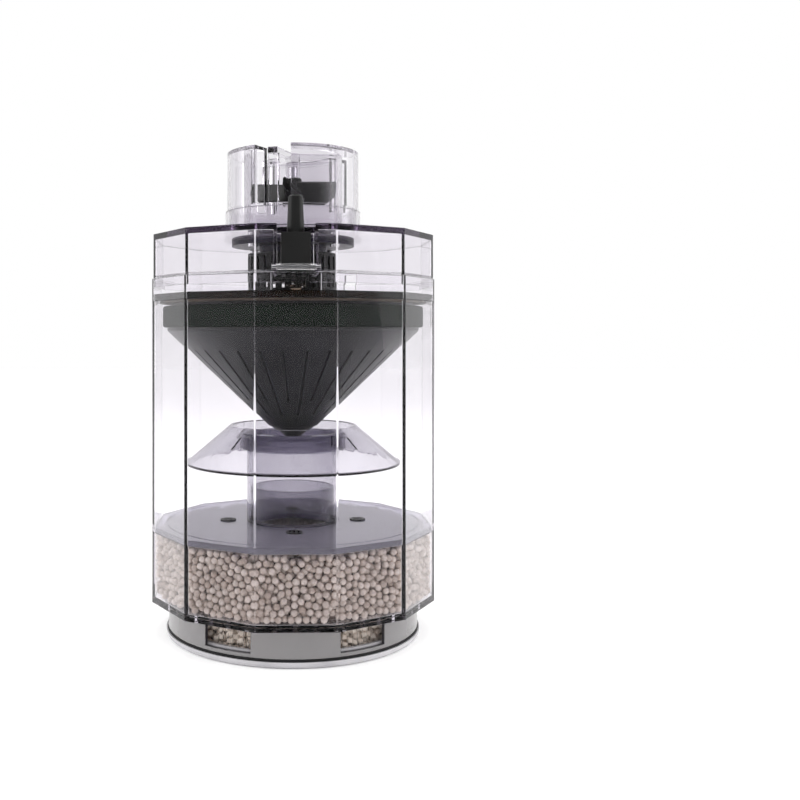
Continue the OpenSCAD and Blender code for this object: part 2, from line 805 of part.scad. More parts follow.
module turret_collar() {
    color([0.85, 0.84, 0.88, 0.35]) translate([0, 0, collar_z]) {
        ring(collar_r, collar_in, collar_h);
        ring(collar_r, lid_hole_r, collar_floor);
    }
}

module outlet_windows(r) {
    round_array(outlet_n) translate([0, 0, sill_z]) wedge(outlet_from, outlet_to, r, drum_h + over);
}

module turret_drum() {
    color([0.86, 0.85, 0.89, 0.35]) {
        difference() {
            union() {
                translate([0, 0, drum_z]) ring(drum_r, drum_r - drum_wall, drum_h);
                translate([0, 0, drum_foot_z]) ring(drum_foot_r, drum_foot_r - drum_wall, drum_z - drum_foot_z + 1.2);
                translate([0, 0, drum_foot_z]) ring(drum_foot_r, duct_r, 1.8);
                translate([0, 0, drum_top - roof_t]) ring(drum_r, duct_r, roof_t);
            }
            outlet_windows(drum_r + 4);
        }
        round_array(outlet_n) rotate([0, 0, outlet_from - 2]) translate([0, post_r - drum_r, sill_z - 1])
            cylinder(r = post_r, h = drum_top - sill_z + 1);
    }
}

// The duct has a pillar in each outlet window that carries an arm of the bridge
module turret_duct() {
    color([0.82, 0.81, 0.86, 0.4]) difference() {
        translate([0, 0, drum_foot_z]) ring(duct_r, duct_in, drum_top - drum_foot_z);
        difference() {
            outlet_windows(duct_r + 4);
            round_array(outlet_n, arm_turn) translate([0, 0, sill_z - over])
                spoke(arm_w, duct_in - over, duct_r + over, drum_h);
        }
        round_array(outlet_n, arm_turn) translate([0, 0, drum_top - arm_h])
            spoke(arm_w + 2 * snug, duct_in - over, duct_r + over, arm_h + over);
    }
}

module bearing_bridge() {
    color([0.85, 0.84, 0.88, 0.4]) difference() {
        union() {
            translate([0, 0, bridge_z]) cylinder(r = bridge_r, h = bridge_h);
            round_array(outlet_n, arm_turn) translate([0, 0, drum_top - arm_h]) linear_extrude(arm_h)
                polygon([[-arm_root_w / 2, 0], [arm_root_w / 2, 0], [arm_w / 2, -duct_r], [-arm_w / 2, -duct_r]]);
        }
        translate([0, 0, bridge_z - over]) cylinder(r = pin_r, h = 6 + over);
    }
}

module impeller_pin() {
    pin_z = hub_z - 0.2 - cap_h;
    color([0.8, 0.8, 0.82]) translate([0, 0, pin_z]) cylinder(r = pin_r, h = bridge_z + 6 - pin_z);
}

module pin_cap() {
    color([0.85, 0.85, 0.88]) translate([0, 0, hub_z - 0.2 - cap_h]) ring(cap_r, pin_r, cap_h);
}

module impeller() {
    color([0.12, 0.12, 0.13]) translate([0, 0, hub_z]) difference() {
        union() {
            cylinder(r = hub_r, h = hub_h);
            translate([0, 0, hub_h / 2 - blade_drop])
                blades(blade_n, hub_r, blade_r, blade_chord, blade_t, blade_pitch, blade_chamfer);
        }
        translate([0, 0, -over]) cylinder(r = hub_bush_r, h = hub_h + 2 * over);
    }
}

module impeller_bush() {
    color([0.9, 0.9, 0.88]) translate([0, 0, hub_z]) ring(hub_bush_r, pin_r + run, hub_h);
}

base_plate();
base_seal();
base_cup();
base_screen();
base_beads();
canister_shell();
canister_beads();
tray_plate();
tray_strainers();
riser_socket();
riser_tube();
riser_collar();
deflector_hat();
hopper_flange();
hopper_cone();
hopper_tip();
hopper_seal();
sponge_ring();
lid_shell();
lid_gasket();
latch_pins();
latch_front();
latch_rear();
pump_housing();
pump_strainer();
pump_outlet();
pump_screws();
pump_coil();
motor_cap();
shaft_bushes();
cable_gland();
nozzle_block();
nozzle();
air_pipe();
rotor_shaft();
rotor_magnet();
rotor_impeller();
turret_collar();
turret_drum();
turret_duct();
bearing_bridge();
impeller_pin();
pin_cap();
impeller();
impeller_bush();
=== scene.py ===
"""Canister filter for an aquarium: moulded shells, tray, hopper, lid, pump and turret, finished
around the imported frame. Lengths are in millimetres until a mesh is made, and turns count from
the front (-Y) towards +X."""

import json
import math

import bmesh
import bpy
import numpy as np
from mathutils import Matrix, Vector, kdtree, noise
from mathutils.bvhtree import BVHTree


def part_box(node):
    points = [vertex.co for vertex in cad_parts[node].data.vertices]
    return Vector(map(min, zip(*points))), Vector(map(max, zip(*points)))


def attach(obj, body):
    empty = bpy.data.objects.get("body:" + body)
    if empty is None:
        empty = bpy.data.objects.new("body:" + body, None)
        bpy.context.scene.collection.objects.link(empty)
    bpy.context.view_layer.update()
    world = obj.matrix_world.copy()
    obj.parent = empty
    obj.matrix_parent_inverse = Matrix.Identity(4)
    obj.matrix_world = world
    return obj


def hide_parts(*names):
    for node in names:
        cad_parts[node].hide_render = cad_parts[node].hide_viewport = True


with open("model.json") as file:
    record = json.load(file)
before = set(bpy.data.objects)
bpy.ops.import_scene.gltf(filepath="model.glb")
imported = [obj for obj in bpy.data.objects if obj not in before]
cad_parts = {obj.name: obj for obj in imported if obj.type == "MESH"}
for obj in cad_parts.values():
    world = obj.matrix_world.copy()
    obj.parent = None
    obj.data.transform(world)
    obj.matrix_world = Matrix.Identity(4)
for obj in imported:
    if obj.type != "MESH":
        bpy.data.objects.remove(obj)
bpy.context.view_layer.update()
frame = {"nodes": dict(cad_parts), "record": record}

MM = 0.001
FLAT = math.cos(math.radians(15))  # a flat's distance from the axis, over the corner's
BODY = {n: b for b, nodes in frame["record"]["behaviour"]["bodies"].items() for n in nodes}


def low(node, axis=2):
    """The lowest coordinate of a CAD node, in millimetres."""
    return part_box(node)[0][axis] / MM


def high(node, axis=2):
    """The highest coordinate of a CAD node, in millimetres."""
    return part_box(node)[1][axis] / MM


# ---- shader groups ----

class Tree:
    """A node tree, with short ways to add and join its nodes."""

    def __init__(self, tree):
        self.tree = tree
        self.column = 0

    def add(self, kind, into=None, **settings):
        node = self.tree.nodes.new(kind)
        self.column += 180
        node.location = (self.column, 0)
        for key, value in settings.items():
            setattr(node, key, value)
        for key, value in (into or {}).items():
            self.feed(node.inputs[key], value)
        return node

    def feed(self, socket, value):
        if isinstance(value, bpy.types.NodeSocket):
            self.tree.links.new(value, socket)
        else:
            socket.default_value = value

    def math(self, operation, a, b=0.0):
        node = self.add("ShaderNodeMath", operation=operation)
        self.feed(node.inputs[0], a)
        self.feed(node.inputs[1], b)
        return node.outputs[0]

    def noise(self, place, scale, detail=3.0, rough=0.55):
        node = self.add("ShaderNodeTexNoise", {"Vector": place, "Scale": scale, "Detail": detail,
                                               "Roughness": rough})
        return node.outputs["Fac"]

    def spread(self, value, start, end, to_low=0.0, to_high=1.0):
        return self.add("ShaderNodeMapRange", {"Value": value, "From Min": start, "From Max": end,
                                               "To Min": to_low, "To Max": to_high}).outputs[0]

    def blend(self, amount, first, second):
        node = self.add("ShaderNodeMix", data_type="RGBA")
        for socket, value in zip((node.inputs[0], node.inputs[6], node.inputs[7]),
                                 (amount, first, second)):
            self.feed(socket, value)
        return node.outputs[2]

    def place(self):
        return self.add("ShaderNodeTexCoord").outputs["Object"]


def group(name, inputs, outputs):
    """A shader group with float inputs and outputs; gives its tree, its inputs and its output node."""
    tree = bpy.data.node_groups.new(name, "ShaderNodeTree")
    kind = "NodeSocketFloat"
    for label, start in inputs:
        socket = tree.interface.new_socket(label, in_out="INPUT", socket_type=kind)
        socket.default_value = start
    for label in outputs:
        tree.interface.new_socket(label, in_out="OUTPUT", socket_type=kind)
    made = Tree(tree)
    return made, made.add("NodeGroupInput").outputs, made.add("NodeGroupOutput")


def smudge_group():
    """Handling marks on a polished moulding: roughness between two values, and a slow waviness."""
    t, put, out = group("handled_gloss", [("Smooth", 0.02), ("Smudged", 0.1), ("Scale", 30.0)],
                        ["Roughness", "Height", "Mask"])
    place = t.place()
    broad = t.noise(place, put["Scale"], 4.0, 0.6)
    mask = t.spread(broad, 0.42, 0.72)
    fine = t.noise(place, t.math("MULTIPLY", put["Scale"], 14.0), 2.0, 0.5)
    marks = t.math("MULTIPLY", mask, t.spread(fine, 0.3, 0.7, 0.4, 1.0))
    span = t.math("SUBTRACT", put["Smudged"], put["Smooth"])
    t.feed(out.inputs["Roughness"], t.math("ADD", put["Smooth"], t.math("MULTIPLY", span, marks)))
    t.feed(out.inputs["Height"], broad)
    t.feed(out.inputs["Mask"], marks)
    return t.tree


def grain_group():
    """The fine spark-eroded grain of satin plastic, with a little flow variation."""
    t, put, out = group("satin_grain", [("Grain", 1400.0), ("Base", 0.4), ("Swing", 0.12)],
                        ["Roughness", "Height", "Tone"])
    place = t.place()
    fine = t.noise(place, put["Grain"], 2.0, 0.6)
    flow = t.noise(place, 45.0, 3.0, 0.5)
    both = t.math("ADD", t.math("MULTIPLY", fine, 0.4), t.math("MULTIPLY", flow, 0.6))
    swing = t.math("MULTIPLY", t.math("SUBTRACT", both, 0.5), put["Swing"])
    t.feed(out.inputs["Roughness"], t.math("ADD", put["Base"], swing))
    t.feed(out.inputs["Height"], fine)
    t.feed(out.inputs["Tone"], flow)
    return t.tree


def wear_group():
    """A mask that is high where an edge is rubbed, broken up so that it isn't a clean line."""
    t, put, out = group("rubbed_edges", [("Width", 0.0006), ("Breakup", 220.0)], ["Mask"])
    rounded = t.add("ShaderNodeBevel", {"Radius": put["Width"]}, samples=4).outputs[0]
    normal = t.add("ShaderNodeNewGeometry").outputs["Normal"]
    turned = t.add("ShaderNodeVectorMath", {0: rounded, 1: normal}, operation="DOT_PRODUCT")
    edge = t.spread(turned.outputs["Value"], 0.995, 0.86)
    patchy = t.spread(t.noise(t.place(), put["Breakup"], 3.0, 0.6), 0.35, 0.65)
    t.feed(out.inputs["Mask"], t.math("MULTIPLY", edge, patchy))
    return t.tree


def film_group():
    """Pale dust on faces that look up, thicker in patches."""
    t, put, out = group("settled_film", [("Amount", 0.3), ("Patch", 60.0)], ["Mask"])
    up = t.add("ShaderNodeSeparateXYZ", {0: t.add("ShaderNodeNewGeometry").outputs["Normal"]})
    patch = t.spread(t.noise(t.place(), put["Patch"], 5.0, 0.65), 0.35, 0.75)
    lying = t.spread(up.outputs["Z"], 0.2, 0.9)
    t.feed(out.inputs["Mask"], t.math("MULTIPLY", t.math("MULTIPLY", lying, patch), put["Amount"]))
    return t.tree


SMUDGES, GRAIN, WEAR, FILM = smudge_group(), grain_group(), wear_group(), film_group()


# ---- finishes ----

def finish(name):
    """A new material's tree and its Principled BSDF."""
    material = bpy.data.materials.new(name)
    material.use_nodes = True
    tree = Tree(material.node_tree)
    return material, tree, material.node_tree.nodes["Principled BSDF"]


def use(tree, which, **values):
    """Adds a shader group with its values set; gives its outputs."""
    node = tree.add("ShaderNodeGroup", node_tree=which)
    for key, value in values.items():
        node.inputs[key].default_value = value
    return node.outputs


def bump(tree, bsdf, height, strength, depth):
    """Joins a height to the shader's normal; depth is in metres."""
    node = tree.add("ShaderNodeBump", {"Strength": strength, "Distance": depth, "Height": height})
    tree.feed(bsdf.inputs["Normal"], node.outputs[0])


def clear(name, tint, density, smooth=0.0, smudged=0.05, haze=(0.93, 0.93, 0.94), ior=1.5,
          through=1.0, gloss=0.06):
    """Moulded clear plastic, tinted through its thickness; haze is the tone of its surface."""
    material, t, bsdf = finish(name)
    bsdf.inputs["Transmission Weight"].default_value = through
    bsdf.inputs["IOR"].default_value = ior
    bsdf.inputs["Specular Tint"].default_value = (gloss, gloss, gloss, 1)
    marks = use(t, SMUDGES, Smooth=smooth, Smudged=smudged, Scale=28.0)
    t.feed(bsdf.inputs["Roughness"], marks["Roughness"])
    start = (1, 1, 1, 1) if through == 1.0 else (*(1.04 * c for c in haze), 1)
    t.feed(bsdf.inputs["Base Color"], t.blend(marks["Mask"], start, (*haze, 1)))
    bump(t, bsdf, marks["Height"], 0.12, 0.0001)
    inside = t.add("ShaderNodeVolumeAbsorption", {"Color": (*tint, 1), "Density": density})
    t.tree.links.new(inside.outputs[0], t.tree.nodes["Material Output"].inputs["Volume"])
    return material


def satin(name, dark, light, base=0.4, wear=0.35, dust=0.06, metallic=0.0, gloss=0.3):
    """An opaque, fine-grained finish with rubbed edges and a trace of dust."""
    material, t, bsdf = finish(name)
    bsdf.inputs["Metallic"].default_value = metallic
    bsdf.inputs["Specular IOR Level"].default_value = gloss
    skin = use(t, GRAIN, Grain=1400.0, Base=base, Swing=0.14)
    body = t.blend(t.spread(skin["Tone"], 0.35, 0.65), (*dark, 1), (*light, 1))
    rub = use(t, WEAR, Width=0.0005, Breakup=260.0)["Mask"]
    worn = tuple(min(1.0, 2.4 * c + 0.03) for c in light)
    body = t.blend(t.math("MULTIPLY", rub, wear), body, (*worn, 1))
    film = use(t, FILM, Amount=dust, Patch=70.0)["Mask"]
    t.feed(bsdf.inputs["Base Color"], t.blend(film, body, (0.62, 0.6, 0.57, 1)))
    t.feed(bsdf.inputs["Roughness"], t.math("ADD", skin["Roughness"], t.math("MULTIPLY", film, 0.4)))
    bump(t, bsdf, skin["Height"], 0.15, 0.00004)
    return material


def bead_finish():
    """Fired ceramic beads: each has its own tone, with pores and paler rubbed patches."""
    material, t, bsdf = finish("fired_bead_ceramic")
    tone = t.add("ShaderNodeAttribute", attribute_name="tone").outputs["Fac"]
    place = t.place()
    pores = t.noise(place, 2600.0, 3.0, 0.7)
    patches = t.noise(place, 420.0, 3.0, 0.6)
    clay = t.blend(tone, (0.50, 0.405, 0.34, 1), (0.88, 0.79, 0.71, 1))
    clay = t.blend(t.spread(patches, 0.45, 0.75, 0.0, 0.4), clay, (0.93, 0.88, 0.82, 1))
    clay = t.blend(t.spread(pores, 0.70, 0.56, 0.35, 1.0), (0.30, 0.23, 0.18, 1), clay)
    t.feed(bsdf.inputs["Base Color"], clay)
    t.feed(bsdf.inputs["Roughness"], t.spread(pores, 0.3, 0.7, 0.98, 0.78))
    bsdf.inputs["Specular IOR Level"].default_value = 0.25
    bump(t, bsdf, pores, 0.35, 0.00008)
    return material


def core_finish():
    """Painted shade for the depth behind the outer beads: a darker brown than the beads, darkest between
    the cells.
    """
    material, t, bsdf = finish("shaded_bead_bed")
    cells = t.add("ShaderNodeTexVoronoi", {"Vector": t.place(), "Scale": 300.0})
    depth = cells.outputs["Distance"]
    # Painted shade: darker towards the edges of the cells, where the gaps between beads lie in shade.
    shade = t.blend(t.spread(depth, 0.1, 0.6), (0.50, 0.41, 0.35, 1), (0.20, 0.16, 0.13, 1))
    t.feed(bsdf.inputs["Base Color"], shade)
    t.feed(bsdf.inputs["Roughness"], t.spread(depth, 0.0, 0.6, 0.8, 1.0))
    bump(t, bsdf, t.math("SUBTRACT", 1.0, depth), 1.0, 0.0012)
    return material


def foam_finish():
    """Open-cell sponge, dark green, with painted shade in the hollows of its cells."""
    material, t, bsdf = finish("open_cell_sponge")
    place = t.place()
    cells = t.add("ShaderNodeTexVoronoi", {"Vector": place, "Scale": 780.0}).outputs["Distance"]
    walls = t.spread(cells, 0.15, 0.62)
    drift = t.noise(place, 120.0, 4.0, 0.6)
    green = t.blend(t.spread(drift, 0.35, 0.7), (0.007, 0.012, 0.008, 1), (0.013, 0.021, 0.015, 1))
    # Painted shade: the hollows between the cell walls are near black.
    t.feed(bsdf.inputs["Base Color"], t.blend(walls, (0.004, 0.007, 0.005, 1), green))
    t.feed(bsdf.inputs["Roughness"], t.spread(walls, 0.0, 1.0, 1.0, 0.85))
    bsdf.inputs["Specular IOR Level"].default_value = 0.1
    bump(t, bsdf, walls, 0.5, 0.0002)
    return material


def wound_finish():
    """Enamelled copper wire, wound round an upright axis, with painted shade in the grooves between the
    turns.
    """
    material, t, bsdf = finish("wound_copper")
    turns = t.add("ShaderNodeTexWave", {"Vector": t.place(), "Scale": 520.0, "Distortion": 0.4,
                                        "Detail": 1.0}, wave_type="BANDS", bands_direction="Z")
    height = turns.outputs["Fac"]
    # Painted shade: the low parts of the bands, the grooves between the turns, are dark copper.
    t.feed(bsdf.inputs["Base Color"],
           t.blend(height, (0.16, 0.045, 0.016, 1), (0.78, 0.33, 0.14, 1)))
    bsdf.inputs["Metallic"].default_value = 0.9
    t.feed(bsdf.inputs["Roughness"], t.spread(height, 0.0, 1.0, 0.5, 0.26))
    bump(t, bsdf, height, 0.9, 0.0002)
    return material


CLEAR_WALL = clear("clear_wall_acrylic", (0.08, 0.0, 0.12), 17.0, haze=(0.94, 0.93, 0.95),
                   through=0.994)
LID_WALL = clear("clear_lid_acrylic", (0.1, 0.0, 0.16), 26.0, haze=(0.94, 0.93, 0.95),
                 through=0.996)
TURRET_WALL = clear("clear_turret_acrylic", (0.12, 0.08, 0.15), 50.0, haze=(0.93, 0.92, 0.94),
                    through=0.99)
LATCH_WALL = clear("clear_latch_plastic", (0.2, 0.15, 0.2), 40.0)
CUP_WALL = clear("grey_cup_plastic", (0.12, 0.08, 0.1), 60.0, smooth=0.1, smudged=0.25,
                 haze=(0.46, 0.445, 0.45), through=0.6, gloss=0.6)
# Painted shade for the cup's window reveals: a near-black finish, with grain and a little wear.
CUP_REVEAL_SHADE = satin("painted_shade_cup_reveals", (0.035, 0.033, 0.038), (0.055, 0.052, 0.058), base=0.3, wear=0.2)
SCREEN_WALL = clear("fine_screen_plastic", (0.2, 0.16, 0.2), 20.0, smooth=0.05, smudged=0.15, ior=1.12)
SMOKY = clear("smoky_tray_plastic", (0.20, 0.15, 0.34), 70.0, smooth=0.03, smudged=0.12,
              haze=(0.80, 0.78, 0.90), through=0.76)
SMOKY_HAT = clear("smoky_deflector_plastic", (0.18, 0.14, 0.26), 270.0, smooth=0.02, smudged=0.1)
SMOKY_TUBE = clear("smoky_riser_plastic", (0.18, 0.15, 0.25), 190.0, smooth=0.02, smudged=0.1)
SMOKY_FOOT = clear("smoky_socket_plastic", (0.18, 0.15, 0.25), 420.0, smooth=0.03, smudged=0.12)
TEA = clear("dark_tea_plastic", (0.46, 0.33, 0.20), 760.0, smooth=0.08, smudged=0.2)
GASKET = clear("milky_gasket_silicone", (0.5, 0.5, 0.52), 50.0, smooth=0.2, smudged=0.35)
TAN_SEAL = satin("tan_hopper_silicone", (0.05, 0.036, 0.026), (0.10, 0.07, 0.05), base=0.5, wear=0.1)
# Black rubber for the cable gland and the bottom seal; on the bottom seal its black also paints in the
# shade of the gap between the cup and the bottom disc.
RUBBER_AND_GAP_SHADE = satin("black_rubber_and_base_gap_shade", (0.006, 0.006, 0.006), (0.012, 0.012, 0.013), base=0.62, wear=0.15,
               gloss=0.15)
DISC = satin("grey_base_plastic", (0.40, 0.39, 0.41), (0.50, 0.49, 0.51), base=0.25, wear=0.3, dust=0.1,
             gloss=0.5)
BLACK = satin("black_moulded_plastic", (0.004, 0.004, 0.004), (0.008, 0.008, 0.008), base=0.34, wear=0.3,
              gloss=0.14)
PUMP_BLACK = satin("violet_black_pump_plastic", (0.008, 0.006, 0.016), (0.016, 0.012, 0.03), base=0.34,
                   wear=0.3, gloss=0.16)
CONE = satin("satin_cone_plastic", (0.017, 0.017, 0.019), (0.028, 0.028, 0.031), base=0.40, wear=0.25)
CERAMIC = satin("white_bush_ceramic", (0.72, 0.72, 0.70), (0.82, 0.81, 0.79), base=0.28, wear=0.1)
PIN_STEEL = satin("dark_pin_steel", (0.06, 0.06, 0.065), (0.11, 0.11, 0.115), base=0.4, metallic=0.8)
STEEL = satin("ground_steel", (0.50, 0.50, 0.51), (0.62, 0.62, 0.63), base=0.24, metallic=1.0, wear=0.2)
MAGNET = satin("bonded_magnet", (0.03, 0.03, 0.034), (0.06, 0.06, 0.065), base=0.5, metallic=0.6)
BEAD, BED, FOAM, COPPER = bead_finish(), core_finish(), foam_finish(), wound_finish()


# ---- making pieces ----

WELD = 2e-6                     # metres; corners nearer than this are one corner
FLAT_TURN = math.radians(0.6)   # facets that turn less than this are one face
EDGE_TURN = math.radians(26)    # edges that turn more than this are rounded
EDGE_STEPS = 2
EDGE_SHARES = (1.0, 0.6, 0.35, 0.2, 0.1)


def new_piece(name, mesh, material, *nodes):
    """A piece that stands for CAD nodes, rides on their body and hides them; it takes the finish it is
    given.
    """
    piece = bpy.data.objects.new(name, mesh)
    bpy.context.scene.collection.objects.link(piece)
    mesh.materials.clear()
    mesh.materials.append(material)
    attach(piece, BODY[nodes[0]])
    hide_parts(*nodes)
    return piece


def strays(piece, skin, reach):
    """How many of the rounded mesh's points lie further from the sharp mesh than a rounding can."""
    shaped = piece.evaluated_get(bpy.context.evaluated_depsgraph_get())
    mesh = shaped.to_mesh()
    count = sum(skin.find_nearest(v.co)[3] > reach for v in mesh.vertices)
    shaped.to_mesh_clear()
    return count


def soften(piece, width):
    """Rounds the piece's edges as far as its small faces allow, and shades it as one moulding."""
    piece.data.polygons.foreach_set("use_smooth", [True] * len(piece.data.polygons))
    skin = BVHTree.FromPolygons([v.co for v in piece.data.vertices],
                                [p.vertices for p in piece.data.polygons])
    edge = piece.modifiers.new("edges", "BEVEL")
    edge.segments = EDGE_STEPS
    edge.limit_method, edge.angle_limit = "ANGLE", EDGE_TURN
    edge.use_clamp_overlap = False
    for share in EDGE_SHARES:
        edge.width = width * share * MM
        if not strays(piece, skin, 0.8 * edge.width):
            break
    else:
        edge.width = width * MM
        edge.use_clamp_overlap = True
    weight = piece.modifiers.new("shading", "WEIGHTED_NORMAL")
    weight.keep_sharp = True
    return piece


def as_moulded(node, name, material, width, gap):
    """A copy of a CAD node with whole faces and rounded edges; gap draws its skin in a little."""
    mesh = bpy.data.meshes.new(name)
    bm = bmesh.new()
    bm.from_mesh(frame["nodes"][node].data)
    bmesh.ops.remove_doubles(bm, verts=bm.verts, dist=WELD)
    bmesh.ops.dissolve_degenerate(bm, edges=bm.edges, dist=WELD)
    bmesh.ops.recalc_face_normals(bm, faces=bm.faces)
    if gap:
        bm.normal_update()
        moved = [(v, v.co - v.normal * gap * MM * v.calc_shell_factor()) for v in bm.verts]
        for v, place in moved:
            if (v.co - place).length < 3 * gap * MM:
                v.co = place
    bmesh.ops.dissolve_limit(bm, angle_limit=FLAT_TURN, verts=bm.verts, edges=bm.edges)
    bm.to_mesh(mesh)
    bm.free()
    return soften(new_piece(name, mesh, material, node), width)


def dark_reveals(piece, floor, top):
    """Paints shade on the cut faces round the windows, where the light runs along inside the wall: these
    faces take a near-black finish in place of the cup's plastic.
    """
    piece.data.materials.append(CUP_REVEAL_SHADE)
    for face in piece.data.polygons:
        x, y, z = face.center
        outward = (face.normal.x * x + face.normal.y * y) / max(math.hypot(x, y), WELD)
        if floor * MM < z < top * MM and abs(outward) < 0.5:
            face.material_index = 1


# ---- beads ----

BEAD_SIZE = 3.9
WALL_BEADS, TOP_BEADS, BASE_BEADS = 2440, 1080, 900
WALL_LAYER = 5.6       # how deep behind the wall the outer beads are scattered
TOP_INSET = 6.5        # how far the top layer stays inside the wall
CORE_INSET = 6.4       # how far the solid middle stays inside the wall
BASE_LAYER = 5.0
BASE_CORE_INSET = 4.4
CORE_GAP = 0.3
SIDES = 12
SIDE_STEPS = 8
WAYS = np.array([[math.sin(math.radians(30 * k)), -math.cos(math.radians(30 * k))]
                 for k in range(SIDES)])


def ball():
    """A unit sphere's corners and faces."""
    bm = bmesh.new()
    bmesh.ops.create_icosphere(bm, subdivisions=2, radius=1.0)
    verts = np.array([v.co[:] for v in bm.verts])
    faces = np.array([[v.index for v in f.verts] for f in bm.faces])
    bm.free()
    return verts, faces


def settle(spots, size, keep_in, rounds=46):
    """Pushes overlapping beads apart until they lie against each other inside their space."""
    for _ in range(rounds):
        tree = kdtree.KDTree(len(spots))
        for i, spot in enumerate(spots):
            tree.insert(spot, i)
        tree.balance()
        push = np.zeros_like(spots)
        for i, spot in enumerate(spots):
            for place, j, apart in tree.find_range(spot, size):
                if j > i and apart > 1e-6:
                    step = (spot - np.array(place)) * (0.52 * (size - apart) / apart)
                    push[i] += step
                    push[j] -= step
        reach = np.linalg.norm(push, axis=1, keepdims=True)
        push *= np.minimum(1.0, 0.45 * size / np.maximum(reach, 1e-9))
        spots = keep_in(spots + push)
    return spots


def bead_mesh(name, spots, size, seed):
    """One mesh of beads, each turned, sized and toned a little differently."""
    chance = np.random.default_rng(seed)
    verts, faces = ball()
    count = len(spots)
    scale = size / 2 * chance.uniform(0.93, 1.0, (count, 1, 1))
    squash = chance.uniform(0.95, 1.0, (count, 1, 3))
    turn = chance.normal(size=(count, 4))
    turn /= np.linalg.norm(turn, axis=1, keepdims=True)
    w, x, y, z = turn.T
    spin = np.stack([1 - 2 * (y * y + z * z), 2 * (x * y - w * z), 2 * (x * z + w * y),
                     2 * (x * y + w * z), 1 - 2 * (x * x + z * z), 2 * (y * z - w * x),
                     2 * (x * z - w * y), 2 * (y * z + w * x), 1 - 2 * (x * x + y * y)],
                    axis=1).reshape(-1, 3, 3)
    points = np.einsum("nij,nkj->nki", spin, verts[None] * squash * scale) + spots[:, None, :]
    step = (np.arange(count) * len(verts))[:, None, None]
    loops = (faces[None] + step).reshape(-1, 3)
    mesh = bpy.data.meshes.new(name)
    mesh.from_pydata((points.reshape(-1, 3) * MM).tolist(), [], loops.tolist())
    tone = mesh.attributes.new("tone", "FLOAT", "POINT")
    tone.data.foreach_set("value", np.repeat(chance.beta(2.6, 2.0, count), len(verts)))
    mesh.polygons.foreach_set("use_smooth", [True] * len(mesh.polygons))
    mesh.update()
    return mesh


def in_prism(flat, deep, floor, top):
    """Keeps beads between a twelve-sided wall and a depth behind it."""
    def keep(spots):
        for _ in range(2):
            over = np.maximum(spots[:, :2] @ WAYS.T - flat, 0)
            spots[:, :2] -= over @ WAYS * 0.9
        out = spots[:, :2] @ WAYS.T
        nearest = out.argmax(axis=1)
        short = np.maximum(flat - deep - out.max(axis=1), 0)
        spots[:, :2] += WAYS[nearest] * short[:, None]
        spots[:, 2] = np.clip(spots[:, 2], floor, top)
        return spots
    return keep


def in_ring(outer, inner, floor, top):
    """Keeps beads between two radii and two levels."""
    def keep(spots):
        reach = np.maximum(np.linalg.norm(spots[:, :2], axis=1), 1e-6)
        spots[:, :2] *= (np.clip(reach, inner, outer) / reach)[:, None]
        spots[:, 2] = np.clip(spots[:, 2], floor, top)
        return spots
    return keep


def scattered(count, outer, inner, floor, top, seed):
    """Places for beads, spread evenly over a ring."""
    chance = np.random.default_rng(seed)
    reach = np.sqrt(chance.uniform(inner ** 2, outer ** 2, count))
    turn = chance.uniform(0, 2 * math.pi, count)
    return np.stack([reach * np.sin(turn), -reach * np.cos(turn),
                     chance.uniform(floor, top, count)], axis=1)


def bead_bed(name, outline, floor, top, *nodes):
    """The solid middle of a bed of beads: a prism with a lumpy skin."""
    sides, levels = len(outline), 12
    verts = [(0.0, 0.0, floor)]
    for k in range(levels + 1):
        z = floor + (top - floor) * k / levels
        for x, y in outline:
            lump = 0.5 * noise.noise(Vector((x, y, z)) * 0.45)
            verts.append((x * (1 + lump / 60), y * (1 + lump / 60), z))
    verts.append((0.0, 0.0, top))
    faces = []
    for i in range(sides):
        j = (i + 1) % sides
        faces.append((0, 1 + j, 1 + i))
        for k in range(levels):
            a = 1 + k * sides
            faces.append((a + i, a + j, a + sides + j, a + sides + i))
        a = 1 + levels * sides
        faces.append((a + i, a + j, len(verts) - 1))
    mesh = bpy.data.meshes.new(name)
    mesh.from_pydata([tuple(c * MM for c in v) for v in verts], [], faces)
    mesh.update()
    return new_piece(name, mesh, BED, *nodes)


def twelve_sided(reach):
    """A twelve-sided outline, with points along each side."""
    outline = []
    for k in range(SIDES):
        first, second = (math.radians(30 * k + d) for d in (-15, 15))
        for step in range(SIDE_STEPS):
            start = np.array([math.sin(first), -math.cos(first)]) * (1 - step / SIDE_STEPS)
            end = np.array([math.sin(second), -math.cos(second)]) * (step / SIDE_STEPS)
            outline.append(tuple((start + end) * reach))
    return outline


def canister_media():
    """The canister's beads: a layer at the wall, one on top and a solid middle."""
    half = BEAD_SIZE / 2
    wall = high("canister_beads", 0)
    flat = -low("canister_beads", 1) - half
    floor, top = low("canister_beads") + half, high("canister_beads") - half
    start = scattered(WALL_BEADS, flat / FLAT, flat - WALL_LAYER, floor, top, 11)
    spots = settle(start, BEAD_SIZE, in_prism(flat, WALL_LAYER + 0.2, floor, top))
    new_piece("bead_wall_layer", bead_mesh("bead_wall_layer", spots, BEAD_SIZE, 12), BEAD,
              "canister_beads")
    start = scattered(TOP_BEADS, flat - TOP_INSET, 0.0, top - 1.6, top, 13)
    spots = settle(start, BEAD_SIZE, in_ring(flat - TOP_INSET, 0.0, top - 2.2, top), 30)
    new_piece("bead_top_layer", bead_mesh("bead_top_layer", spots, BEAD_SIZE, 14), BEAD,
              "canister_beads")
    bead_bed("bead_bed_core", twelve_sided(wall - CORE_INSET), floor - half + CORE_GAP, top - 1.4,
             "canister_beads")


